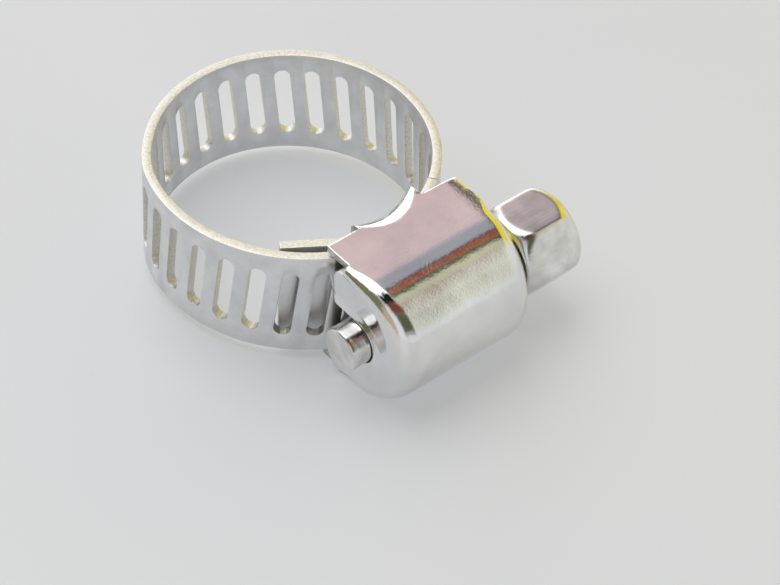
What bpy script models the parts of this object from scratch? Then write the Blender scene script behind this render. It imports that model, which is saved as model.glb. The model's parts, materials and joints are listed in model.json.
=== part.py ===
"""Worm-drive hose clamp: one perforated band, a pressed housing and a worm screw.

The ring's axis is Z. The screw lies along X in front of the ring, with its hex head at +X.
Turning the screw clockwise, seen from its head, draws the band's free end towards the head
and closes the ring. The one-piece band is split into rigid lengths that hinge on one another.
"""
import math

import bmesh
import bpy
from mathutils import Matrix, Vector

MM = 0.001

# Band, in millimetres and degrees
BAND_WIDTH = 8.0
BAND_THICKNESS = 0.6
RING_INNER_RADIUS = 8.79
SLOT_PITCH = 2.0          # along the band, and the worm's thread pitch
SLOT_WIDTH = 1.08
SLOT_LENGTH = 5.45
SLOT_SLANT = 6.0          # lean of each slot, to follow the thread

# Free end: a rigid arc that slides through the housing about its own centre
FREE_CENTRE_X = 1.0
FREE_SLOT_COUNT = 12      # whole slots between its trailing end and its tip
FREE_TIP_LENGTH = 0.9     # plain metal past the last slot's centre
FREE_TRAIL_ANGLE = 157.6  # where the arc hands over to the first link, about its own centre
LAYER_GAP = 0.46          # between the fixed end and the free end, where they cross

# Links round the back of the ring
LINK_COUNT = 8
SLOTS_PER_LINK = 2
LINK_GAP = 0.24
LAST_LINK_ANGLE = -55.0   # where the last link meets the fixed end, about the ring's centre
OPEN_GAP = 0.5            # clearance at that open joint

# Fixed end: an arc under the housing's tabs, then a straight tongue
FIXED_BEND_ANGLE = -102.0
TONGUE_SLOPE = 33.0
TONGUE_LENGTH = 4.9
TONGUE_SLOT_INSET = 1.75  # last slot's centre to the tongue's tip
FIXED_SLOT_COUNT = 5

# Housing
SHEET = 0.5
SIDE_CLEARANCE = 0.2
HOUSING_CENTRE_X = 0.85
HOUSING_LENGTH = 10.1     # between the cut ends of the flanks
TIP_WALL_STEP = 0.5       # the wall at the tip stands this far past the flanks' cut ends
HEAD_WALL_STEP = 0.2      # and the wall at the head this far
CORNER_RADIUS = 0.8
INNER_CORNER_RADIUS = 0.3
ARCH_CLEARANCE = 1.36     # between the thread's crest and the arch
FLANK_REACH = 0.19        # flanks rise this far past the fixed end's inner face
END_WALL_DROP = 0.25      # end walls stop this far short of the free end
TAB_LENGTH = 5.0
TAB_OFFSET = -0.1
TAB_CLEARANCE = 0.12
TAB_SEAM = 0.3
TAB_FOLD_RADIUS = 0.45

# Worm screw
CREST_RADIUS = 2.47
ROOT_RADIUS = 1.65
CREST_WIDTH = 0.42
ROOT_WIDTH = 0.86
THREAD_ENGAGEMENT = 0.5   # how far the crest reaches into the free end's slots
THREAD_STEPS = 20         # segments in one turn
THREAD_SUNK = 0.25        # the ridge starts this far inside the core
JOURNAL_RADIUS = 1.45
JOURNAL_CLEARANCE = 0.1
END_PLAY = 0.15
TIP_REACH = 1.5           # tip past the end wall
TIP_CHAMFER = 0.15
NECK_LENGTH = 0.65
HEAD_ACROSS_FLATS = 5.8
HEAD_LENGTH = 4.5
HEAD_CHAMFER = 0.8 
HEAD_FACE_STEP = 0.25     # end faces are this much smaller than the flats
HEAD_TURN = 32.0          # rotation of the hexagon about the screw's axis

ARC_STEP = 3.0            # degrees between points on the band's arcs
ROUND_STEPS = 40          # segments in a full circle
SLOT_END_STEPS = 6        # segments round each end of a slot
TAB_STEPS = 12            # segments along a tab
CORNER_STEPS = 4          # segments round a pressed corner
FOLD_STEPS = 3            # segments round a folded edge
CUT_MARGIN = 0.4          # how far a cutter passes what it cuts
SKIN = 0.01               # tolerance when picking edges, and how far a turning tool passes

# Worked out from the sizes above
ring_mid = RING_INNER_RADIUS + BAND_THICKNESS / 2
ring_outer = RING_INNER_RADIUS + BAND_THICKNESS
free_mid = ring_outer + LAYER_GAP + BAND_THICKNESS / 2
free_outer = free_mid + BAND_THICKNESS / 2
free_slot_angle = math.degrees(SLOT_PITCH / free_mid)
ring_slot_angle = math.degrees(SLOT_PITCH / ring_mid)
screw_y = -(free_outer - THREAD_ENGAGEMENT + CREST_RADIUS)
half_width = BAND_WIDTH / 2 + SIDE_CLEARANCE + SHEET
arch_depth = CREST_RADIUS + ARCH_CLEARANCE + SHEET
flank_left = HOUSING_CENTRE_X - HOUSING_LENGTH / 2
flank_right = HOUSING_CENTRE_X + HOUSING_LENGTH / 2
wall_left = flank_left - TIP_WALL_STEP
wall_right = flank_right + HEAD_WALL_STEP
flank_top = -(RING_INNER_RADIUS - FLANK_REACH)
end_wall_top = -(free_outer + END_WALL_DROP)
tab_radius = RING_INNER_RADIUS - TAB_CLEARANCE
tab_left = HOUSING_CENTRE_X + TAB_OFFSET - TAB_LENGTH / 2
tab_right = tab_left + TAB_LENGTH
thread_left = wall_left + SHEET + END_PLAY
thread_right = wall_right - SHEET - END_PLAY
tip_end = wall_left - TIP_REACH
head_start = wall_right + NECK_LENGTH
head_end = head_start + HEAD_LENGTH

free_left = FREE_CENTRE_X - free_outer
middle_x = (free_left + head_end) / 2
middle_y = (ring_outer + screw_y - arch_depth) / 2


def clear_scene():
    for thing in list(bpy.data.objects):
        bpy.data.objects.remove(thing, do_unlink=True)


def new_collection(name):
    collection = bpy.data.collections.new(name)
    bpy.context.scene.collection.children.link(collection)
    return collection


def metal(name, colour, roughness):
    material = bpy.data.materials.new(name)
    material.use_nodes = True
    shader = material.node_tree.nodes["Principled BSDF"]
    shader.inputs["Base Color"].default_value = (*colour, 1.0)
    shader.inputs["Roughness"].default_value = roughness
    shader.inputs["Metallic"].default_value = 1.0
    return material


def place(thing, collection, origin, parent):
    """Put a finished mesh in its collection, with its origin on its own axis."""
    collection.objects.link(thing)
    thing.data.transform(Matrix.Translation(-Vector(origin) * MM))
    thing.parent = parent
    thing.location = Vector(origin) * MM


def mesh_object(name, build):
    """Make an object whose mesh is filled in by the function given."""
    mesh = bpy.data.meshes.new(name)
    work = bmesh.new()
    build(work)
    bmesh.ops.recalc_face_normals(work, faces=work.faces)
    work.to_mesh(mesh)
    work.free()
    return bpy.data.objects.new(name, mesh)


def extruded_outline(name, outline, half_depth):
    """Flat outline in the XY plane, given thickness along Z and made a mesh."""
    curve = bpy.data.curves.new(name, "CURVE")
    curve.dimensions = "2D"
    curve.fill_mode = "BOTH"
    curve.extrude = half_depth * MM
    spline = curve.splines.new("POLY")
    spline.points.add(len(outline) - 1)
    for point, (x, y) in zip(spline.points, outline):
        point.co = (x * MM, y * MM, 0.0, 1.0)
    spline.use_cyclic_u = True
    drawn = bpy.data.objects.new(name + "_curve", curve)
    bpy.context.scene.collection.objects.link(drawn)
    solid = bpy.data.meshes.new_from_object(drawn.evaluated_get(bpy.context.evaluated_depsgraph_get()))
    bpy.data.objects.remove(drawn, do_unlink=True)
    bpy.data.curves.remove(curve)
    work = bmesh.new()
    work.from_mesh(solid)
    bmesh.ops.remove_doubles(work, verts=work.verts, dist=1e-7)
    bmesh.ops.dissolve_limit(work, angle_limit=0.001, verts=work.verts, edges=work.edges)
    bmesh.ops.recalc_face_normals(work, faces=work.faces)
    work.to_mesh(solid)
    work.free()
    return bpy.data.objects.new(name, solid)


def cut(thing, cutter, operation, cutters):
    """Boolean one solid with another and keep the result as the object's mesh."""
    cutters.objects.link(cutter)
    cutter.hide_render = True
    cutter.display_type = "WIRE"
    held = bpy.context.scene.collection
    held.objects.link(thing)
    step = thing.modifiers.new(operation.lower(), "BOOLEAN")
    step.operation = operation
    step.object = cutter
    step.solver = "EXACT"
    result = bpy.data.meshes.new_from_object(thing.evaluated_get(bpy.context.evaluated_depsgraph_get()))
    thing.modifiers.clear()
    thing.data = result
    held.objects.unlink(thing)


def joined(name, pieces):
    """One mesh that holds several separate solids, used as a single cutter."""
    def build(work):
        for piece in pieces:
            work.from_mesh(piece.data)
    whole = mesh_object(name, build)
    for piece in pieces:
        bpy.data.objects.remove(piece, do_unlink=True)
    return whole


def polar(radius, angle, centre_x=0.0):
    turn = math.radians(angle)
    return Vector((centre_x + radius * math.cos(turn), radius * math.sin(turn)))


def arc_angles(start, end):
    steps = max(1, round(abs(end - start) / ARC_STEP))
    return [start + (end - start) * i / steps for i in range(steps + 1)]


# A place on the band is its mid-thickness point and the angle that its outer side faces.

def free_place(angle):
    return polar(free_mid, angle, FREE_CENTRE_X), angle


def first_seam():
    """Ring angle and radius where the free end's arc hands over to the first link."""
    point = polar(free_mid, FREE_TRAIL_ANGLE, FREE_CENTRE_X)
    return math.degrees(math.atan2(point.y, point.x)), point.length


def ring_place(angle):
    """The ring's circle, easing out to the free end's radius over the first link."""
    seam_angle, seam_radius = first_seam()
    reach = SLOTS_PER_LINK * ring_slot_angle
    share = min(1.0, max(0.0, 1.0 - (seam_angle - angle) / reach))
    ease = share * share * (3.0 - 2.0 * share)
    return polar(ring_mid + (seam_radius - ring_mid) * ease, angle), angle


def tongue_place(distance):
    """A point on the straight tongue, at a distance past the bend."""
    bend, _ = ring_place(FIXED_BEND_ANGLE)
    slope = math.radians(180.0 - TONGUE_SLOPE)
    return bend + distance * Vector((math.cos(slope), math.sin(slope))), 270.0 - TONGUE_SLOPE


def strap(name, places):
    """Band metal along the places, as one extruded outline."""
    half = BAND_THICKNESS / 2
    outer = [point + polar(half, facing) for point, facing in places]
    inner = [point - polar(half, facing) for point, facing in places]
    return extruded_outline(name, [tuple(p) for p in outer + inner[::-1]], BAND_WIDTH / 2)


def slot_cutter(name, place_on_band):
    """Round-ended bar through the band at a place, leaning with the thread."""
    straight = (SLOT_LENGTH - SLOT_WIDTH) / 2
    outline = []
    for end, first in ((1.0, 0.0), (-1.0, 180.0)):
        for i in range(SLOT_END_STEPS + 1):
            tip = polar(SLOT_WIDTH / 2, first + 180.0 * i / SLOT_END_STEPS)
            outline.append((tip.x, tip.y + end * straight))
    bar = extruded_outline(name, outline, BAND_THICKNESS / 2 + CUT_MARGIN)
    point, facing = place_on_band
    turn = math.radians(facing)
    along = Vector((-math.sin(turn), math.cos(turn), 0.0))
    out = Vector((math.cos(turn), math.sin(turn), 0.0))
    frame = Matrix((along, Vector((0.0, 0.0, 1.0)), out)).transposed().to_4x4()
    lean = Matrix.Rotation(-math.radians(SLOT_SLANT), 4, "Z")
    bar.data.transform(Matrix.Translation((point.x * MM, point.y * MM, 0.0)) @ frame @ lean)
    return bar


def perforated(name, places, slots, cutters):
    """A length of band with its slots cut."""
    piece = strap(name, places)
    bars = [slot_cutter(f"{name}_slot_{i}", slot) for i, slot in enumerate(slots)]
    cut(piece, joined(name + "_slots", bars), "DIFFERENCE", cutters)
    return piece


def make_free_end(cutters):
    tip_slot = FREE_TRAIL_ANGLE - 360.0 + FREE_SLOT_COUNT * free_slot_angle
    tip_angle = tip_slot + math.degrees(FREE_TIP_LENGTH / free_mid)
    trail = FREE_TRAIL_ANGLE - 360.0 + math.degrees(LINK_GAP / 2 / free_mid)
    places = [free_place(angle) for angle in arc_angles(trail, tip_angle)]
    slots = [free_place(tip_slot - i * free_slot_angle) for i in range(FREE_SLOT_COUNT + 1)]
    return perforated("band_free_end", places, slots, cutters)


def seam_angle(number):
    """Ring angle of the joint before link `number`, counted from the free end."""
    if number == LINK_COUNT:
        return LAST_LINK_ANGLE
    return first_seam()[0] - number * SLOTS_PER_LINK * ring_slot_angle


def make_link(number, cutters):
    """Link `number`, from 0, between two joints on the ring."""
    start, end = seam_angle(number), seam_angle(number + 1)
    end_gap = OPEN_GAP if number == LINK_COUNT - 1 else LINK_GAP / 2
    first = start - math.degrees(LINK_GAP / 2 / ring_mid)
    last = end + math.degrees(end_gap / ring_mid)
    places = [ring_place(angle) for angle in arc_angles(first, last)]
    slots = [ring_place(start - i * ring_slot_angle) for i in range(SLOTS_PER_LINK + 1)]
    return perforated(f"band_link_{number + 1}", places, slots, cutters)


def make_fixed_end(cutters):
    arc = [ring_place(angle) for angle in arc_angles(LAST_LINK_ANGLE, FIXED_BEND_ANGLE)]
    places = arc[:-1] + [tongue_place(0.0), tongue_place(TONGUE_LENGTH)]
    bend_facing = (FIXED_BEND_ANGLE + 270.0 - TONGUE_SLOPE - 360.0) / 2
    places[-2] = (tongue_place(0.0)[0], bend_facing)
    slots = []
    for i in range(FIXED_SLOT_COUNT):
        distance = TONGUE_LENGTH - TONGUE_SLOT_INSET - i * SLOT_PITCH
        if distance > 0.0:
            slots.append(tongue_place(distance))
        else:
            slots.append(ring_place(FIXED_BEND_ANGLE - math.degrees(distance / ring_mid)))
    return perforated("band_fixed_end", places, slots, cutters)


def arch_outline(inset):
    """Front view of the housing, as (z, y): straight flanks above half an ellipse."""
    width, depth = half_width - inset, arch_depth - inset
    outline = [(width, 0.0)]
    for i in range(ROUND_STEPS // 2 + 1):
        turn = math.pi * i / (ROUND_STEPS // 2)
        outline.append((width * math.cos(turn), screw_y - depth * math.sin(turn)))
    outline.append((-width, 0.0))
    return outline


def along_screw(name, inset, left, right, corner, top):
    """The arch outline carried along X, with rounded edges at both ends."""
    outline = [(z, min(y, top)) for z, y in arch_outline(inset)]
    body = extruded_outline(name, outline, (right - left) / 2)
    turned = Matrix(((0, 0, 1, 0), (0, 1, 0, 0), (-1, 0, 0, 0), (0, 0, 0, 1)))
    body.data.transform(Matrix.Translation(((left + right) / 2 * MM, 0, 0)) @ turned)
    work = bmesh.new()
    work.from_mesh(body.data)
    rims = []
    for edge in work.edges:
        xs = [vert.co.x / MM for vert in edge.verts]
        ys = [vert.co.y / MM for vert in edge.verts]
        at_end = max(xs) < left + SKIN or min(xs) > right - SKIN
        if at_end and min(ys) < top - SKIN:
            rims.append(edge)
    bmesh.ops.bevel(work, geom=rims, offset=corner * MM, segments=CORNER_STEPS, profile=0.5,
                    affect="EDGES", clamp_overlap=True)
    bmesh.ops.recalc_face_normals(work, faces=work.faces)
    work.to_mesh(body.data)
    work.free()
    return body


def tab_arc(radius, left, right):
    """Points along a circle about the ring's centre, from one X to another."""
    return [(x, -math.sqrt(radius ** 2 - x ** 2))
            for x in [left + (right - left) * i / TAB_STEPS for i in range(TAB_STEPS + 1)]]


def housing_side():
    """Side view of the housing's outside: tabs on top, cut flank ends, longer end walls."""
    low = screw_y - arch_depth - CUT_MARGIN
    shoulder = end_wall_top
    outline = [(wall_left - CUT_MARGIN, low), (wall_right + CUT_MARGIN, low)]
    outline += [(wall_right + CUT_MARGIN, shoulder), (flank_right, shoulder), (flank_right, flank_top)]
    outline += [(tab_right, flank_top)]
    outline += tab_arc(tab_radius - SHEET, tab_left, tab_right)[::-1]
    outline += [(tab_left, flank_top), (flank_left, flank_top), (flank_left, shoulder)]
    outline += [(wall_left - CUT_MARGIN, shoulder)]
    return outline


def cavity_side():
    """Side view of the housing's inside: open at both ends above the end walls."""
    low = screw_y - arch_depth - CUT_MARGIN
    inner_left, inner_right = wall_left + SHEET, wall_right - SHEET
    outline = [(inner_left, low), (inner_right, low), (inner_right, end_wall_top)]
    outline += [(wall_right + CUT_MARGIN, end_wall_top)]
    reach = wall_right + CUT_MARGIN
    outline += tab_arc(tab_radius, wall_left - CUT_MARGIN, reach)[::-1]
    outline += [(wall_left - CUT_MARGIN, end_wall_top), (inner_left, end_wall_top)]
    return outline


def round_bar(name, radius, left, right):
    """Cylinder on the screw's axis."""
    def build(work):
        turned = Matrix.Rotation(math.pi / 2, 4, "Y")
        spot = Matrix.Translation(((left + right) / 2 * MM, screw_y * MM, 0.0))
        bmesh.ops.create_cone(work, cap_ends=True, segments=ROUND_STEPS, radius1=radius * MM,
                              radius2=radius * MM, depth=(right - left) * MM, matrix=spot @ turned)
    return mesh_object(name, build)


def box(name, low, high):
    def build(work):
        size = [(b - a) * MM for a, b in zip(low, high)]
        middle = [(a + b) / 2 * MM for a, b in zip(low, high)]
        shape = Matrix.Translation(middle) @ Matrix.Diagonal((*size, 1.0))
        bmesh.ops.create_cube(work, size=1.0, matrix=shape)
    return mesh_object(name, build)


def fold_edges(body):
    """Round the two long edges where the tabs fold over from the flanks."""
    work = bmesh.new()
    work.from_mesh(body.data)
    folds = []
    for edge in work.edges:
        a, b = (vert.co / MM for vert in edge.verts)
        on_side = min(abs(a.z), abs(b.z)) > half_width - SKIN and a.z * b.z > 0
        on_top = max(abs(p.xy.length - (tab_radius - SHEET)) for p in (a, b)) < 2 * SKIN
        if on_side and on_top and abs(a.x - b.x) > SKIN:
            folds.append(edge)
    bmesh.ops.bevel(work, geom=folds, offset=TAB_FOLD_RADIUS * MM, segments=FOLD_STEPS, profile=0.5,
                    affect="EDGES", clamp_overlap=True)
    bmesh.ops.recalc_face_normals(work, faces=work.faces)
    work.to_mesh(body.data)
    work.free()


def make_housing(cutters):
    """Pressed sheet: arch, flanks, end walls with notches, and tabs that hold the fixed end."""
    top = -(tab_radius - 2 * SHEET - 2 * CUT_MARGIN)
    body = along_screw("housing", 0.0, wall_left, wall_right, CORNER_RADIUS, top)
    outside = extruded_outline("housing_outside", housing_side(), half_width + CUT_MARGIN)
    cut(body, outside, "INTERSECT", cutters)
    fold_edges(body)
    hollow = along_screw("housing_hollow", SHEET, wall_left - CUT_MARGIN, wall_right + CUT_MARGIN,
                         INNER_CORNER_RADIUS, 0.0)
    hollow_side = extruded_outline("housing_hollow_side", cavity_side(), half_width + CUT_MARGIN)
    cut(hollow, hollow_side, "INTERSECT", cutters)
    cut(body, hollow, "DIFFERENCE", cutters)
    seam = box("housing_seam", (tab_left - CUT_MARGIN, -tab_radius - CUT_MARGIN, -TAB_SEAM / 2),
               (tab_right + CUT_MARGIN, 0.0, TAB_SEAM / 2))
    cut(body, seam, "DIFFERENCE", cutters)
    notch_radius = JOURNAL_RADIUS + JOURNAL_CLEARANCE
    for name, left in (("tip", wall_left), ("head", wall_right - SHEET)):
        bar = round_bar(f"housing_{name}_hole", notch_radius, left - CUT_MARGIN, left + SHEET + CUT_MARGIN)
        mouth = box(f"housing_{name}_mouth", (left - CUT_MARGIN, screw_y, -notch_radius),
                    (left + SHEET + CUT_MARGIN, end_wall_top + CUT_MARGIN, notch_radius))
        cut(body, bar, "DIFFERENCE", cutters)
        cut(body, mouth, "DIFFERENCE", cutters)
    return body


def make_thread():
    """Right-hand ridge: a trapezoid swept round the screw's axis, one pitch to a turn."""
    run = thread_right - thread_left - ROOT_WIDTH
    steps = int(run / SLOT_PITCH * THREAD_STEPS)
    # the ridge faces the band where it crosses the free end's slot nearest the housing's middle
    slots_back = round((FREE_TRAIL_ANGLE - 360.0 + 90.0) / free_slot_angle)
    slot_angle = FREE_TRAIL_ANGLE - 360.0 - slots_back * free_slot_angle
    slot_x = free_place(slot_angle)[0].x
    start_x = thread_left + ROOT_WIDTH / 2
    start_turn = (start_x - slot_x) / SLOT_PITCH * 2.0 * math.pi
    sunk_radius = ROOT_RADIUS - THREAD_SUNK

    def build(work):
        half_root = ROOT_WIDTH / 2
        profile = [(-half_root, sunk_radius), (-half_root, ROOT_RADIUS),
                   (-CREST_WIDTH / 2, CREST_RADIUS), (CREST_WIDTH / 2, CREST_RADIUS),
                   (half_root, ROOT_RADIUS), (half_root, sunk_radius)]
        rings = []
        for i in range(steps + 1):
            turn = start_turn + 2.0 * math.pi * i / THREAD_STEPS
            x = start_x + SLOT_PITCH * i / THREAD_STEPS
            ring = []
            for along, radius in profile:
                spot = Vector((x + along, screw_y + radius * math.cos(turn), radius * math.sin(turn)))
                ring.append(work.verts.new(spot * MM))
            rings.append(ring)
        for before, after in zip(rings, rings[1:]):
            for j in range(len(profile)):
                k = (j + 1) % len(profile)
                work.faces.new((before[j], before[k], after[k], after[j]))
        work.faces.new(rings[0])
        work.faces.new(rings[-1][::-1])
    return mesh_object("worm_thread", build)


def turned(name, profile):
    """A profile of (x, radius) points turned about the screw's axis."""
    def build(work):
        verts = [work.verts.new((x * MM, (screw_y + radius) * MM, 0.0)) for x, radius in profile]
        edges = [work.edges.new(pair) for pair in zip(verts, verts[1:])]
        bmesh.ops.spin(work, geom=verts + edges, cent=(0.0, screw_y * MM, 0.0), axis=(1.0, 0.0, 0.0),
                       angle=2.0 * math.pi, steps=ROUND_STEPS, use_duplicate=False)
        bmesh.ops.remove_doubles(work, verts=work.verts, dist=1e-6)
    return mesh_object(name, build)


def make_head(cutters):
    """Hexagon with both ends turned down to a chamfer."""
    corner = HEAD_ACROSS_FLATS / 2 / math.cos(math.pi / 6)

    def build(work):
        spot = Matrix.Translation(((head_start + head_end) / 2 * MM, screw_y * MM, 0.0))
        turn = Matrix.Rotation(math.radians(HEAD_TURN), 4, "X") @ Matrix.Rotation(math.pi / 2, 4, "Y")
        bmesh.ops.create_cone(work, cap_ends=True, segments=6, radius1=corner * MM,
                              radius2=corner * MM, depth=HEAD_LENGTH * MM, matrix=spot @ turn)
    head = mesh_object("worm_head", build)
    rim = HEAD_ACROSS_FLATS / 2 - HEAD_FACE_STEP
    wide = corner + HEAD_FACE_STEP
    barrel = turned("worm_head_barrel", [
        (head_start - SKIN, 0.0), (head_start - SKIN, rim), (head_start + HEAD_CHAMFER, wide),
        (head_end - HEAD_CHAMFER, wide), (head_end + SKIN, rim), (head_end + SKIN, 0.0)])
    cut(head, barrel, "INTERSECT", cutters)
    return head


def make_screw(cutters):
    """Journal, thread, neck and hex head as one turned piece."""
    neck_root = head_start + HEAD_CHAMFER
    core = turned("worm_screw", [
        (tip_end, 0.0), (tip_end, JOURNAL_RADIUS - TIP_CHAMFER), (tip_end + TIP_CHAMFER, JOURNAL_RADIUS),
        (thread_left, JOURNAL_RADIUS), (thread_left, ROOT_RADIUS), (thread_right, ROOT_RADIUS),
        (thread_right, JOURNAL_RADIUS), (neck_root, JOURNAL_RADIUS), (neck_root, 0.0)])
    cut(core, make_thread(), "UNION", cutters)
    cut(core, make_head(cutters), "UNION", cutters)
    return core


def shade(thing):
    thing.data.shade_smooth()
    thing.data.set_sharp_from_angle(angle=math.radians(32.0))


def main():
    clear_scene()
    parts = new_collection("hose_clamp")
    cutters = new_collection("cutters")
    centre = bpy.data.objects.new("ring_centre", None)
    centre.location = (-middle_x * MM, -middle_y * MM, half_width * MM)
    parts.objects.link(centre)
    bpy.context.view_layer.update()

    band_steel = metal("band steel", (0.62, 0.62, 0.60), 0.35)
    plated_steel = metal("plated housing steel", (0.80, 0.78, 0.77), 0.10)
    screw_steel = metal("plated screw steel", (0.74, 0.73, 0.70), 0.18)

    free_end = make_free_end(cutters)
    place(free_end, parts, (FREE_CENTRE_X, 0.0, 0.0), centre)
    fixed_end = make_fixed_end(cutters)
    place(fixed_end, parts, (0.0, 0.0, 0.0), centre)
    links = []
    for number in range(LINK_COUNT):
        link = make_link(number, cutters)
        joint, _ = ring_place(seam_angle(number))
        place(link, parts, (joint.x, joint.y, 0.0), centre)
        links.append(link)
    housing = make_housing(cutters)
    place(housing, parts, (HOUSING_CENTRE_X, screw_y, 0.0), centre)
    screw = make_screw(cutters)
    place(screw, parts, (HOUSING_CENTRE_X, screw_y, 0.0), centre)

    for piece in [free_end, fixed_end, *links]:
        piece.data.materials.clear()
        piece.data.materials.append(band_steel)
    for piece, material in ((housing, plated_steel), (screw, screw_steel)):
        piece.data.materials.clear()
        piece.data.materials.append(material)
    for piece in [free_end, fixed_end, *links, housing, screw]:
        shade(piece)


main()
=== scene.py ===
import json
import math

import bmesh
import bpy
import numpy as np
from mathutils import Matrix, Vector


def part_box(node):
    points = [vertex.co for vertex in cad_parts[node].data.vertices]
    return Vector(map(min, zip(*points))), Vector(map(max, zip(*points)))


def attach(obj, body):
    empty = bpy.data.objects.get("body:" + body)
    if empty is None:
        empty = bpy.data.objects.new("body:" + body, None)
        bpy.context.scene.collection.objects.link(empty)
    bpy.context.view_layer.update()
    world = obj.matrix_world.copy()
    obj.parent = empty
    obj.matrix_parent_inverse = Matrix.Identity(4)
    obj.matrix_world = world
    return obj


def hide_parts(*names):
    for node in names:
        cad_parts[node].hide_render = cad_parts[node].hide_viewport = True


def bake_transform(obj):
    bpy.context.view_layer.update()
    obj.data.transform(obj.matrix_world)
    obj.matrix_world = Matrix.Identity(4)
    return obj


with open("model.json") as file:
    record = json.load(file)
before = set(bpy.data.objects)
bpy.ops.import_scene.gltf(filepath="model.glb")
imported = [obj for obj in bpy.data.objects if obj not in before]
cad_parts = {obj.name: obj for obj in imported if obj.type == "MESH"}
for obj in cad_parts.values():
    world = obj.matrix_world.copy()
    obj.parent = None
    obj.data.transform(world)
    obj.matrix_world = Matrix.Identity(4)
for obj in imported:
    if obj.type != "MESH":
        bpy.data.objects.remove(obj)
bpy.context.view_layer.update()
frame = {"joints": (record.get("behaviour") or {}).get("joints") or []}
joints = {joint["name"]: joint for joint in frame["joints"]}
mm = 0.001

# free end's own centre stands this far along X from the ring's centre
freeCentreX = 1.0
ringCentre = Vector(joints["band_travel"]["pos_m"]) - Vector((freeCentreX, 0.0, 0.0)) * mm
screwAxis = (Vector(joints["screw_turn"]["pos_m"]) - ringCentre) / mm
housingLow, housingHigh = [(corner - ringCentre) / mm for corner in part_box("housing")]
screwLow, screwHigh = [(corner - ringCentre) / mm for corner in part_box("worm_screw")]


def atRing(x, y, z=0.0):
    # x, y, z are in millimetres from the ring's centre
    return ringCentre + Vector((x, y, z)) * mm


def linear(hexColour):
    # sRGB hex to the linear values that shaders take
    parts = [int(hexColour[i:i + 2], 16) / 255 for i in (0, 2, 4)]
    return tuple(c / 12.92 if c <= 0.04045 else ((c + 0.055) / 1.055) ** 2.4 for c in parts)


def addNode(tree, kind, inputs=None, **settings):
    # a node among the inputs is linked from its first output, a socket from itself
    node = tree.nodes.new(kind)
    for key, value in settings.items():
        setattr(node, key, value)
    for key, value in (inputs or {}).items():
        if isinstance(value, bpy.types.Node):
            value = value.outputs[0]
        if isinstance(value, bpy.types.NodeSocket):
            tree.links.new(value, node.inputs[key])
        else:
            node.inputs[key].default_value = value
    return node


def smoothStep(share):
    share = min(1.0, max(0.0, share))
    return share * share * (3.0 - 2.0 * share)


def newObject(name, mesh):
    thing = bpy.data.objects.new(name, mesh)
    bpy.context.scene.collection.objects.link(thing)
    return thing


def bakeDown(thing):
    # swap the live modifiers for the plain mesh that they make
    evaluated = thing.evaluated_get(bpy.context.evaluated_depsgraph_get())
    mesh = bpy.data.meshes.new_from_object(evaluated)
    mesh.name = thing.name
    thing.modifiers.clear()
    thing.data = mesh
    return thing


def softShade(thing, angle):
    thing.data.shade_smooth()
    thing.data.set_sharp_from_angle(angle=math.radians(angle))


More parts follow.
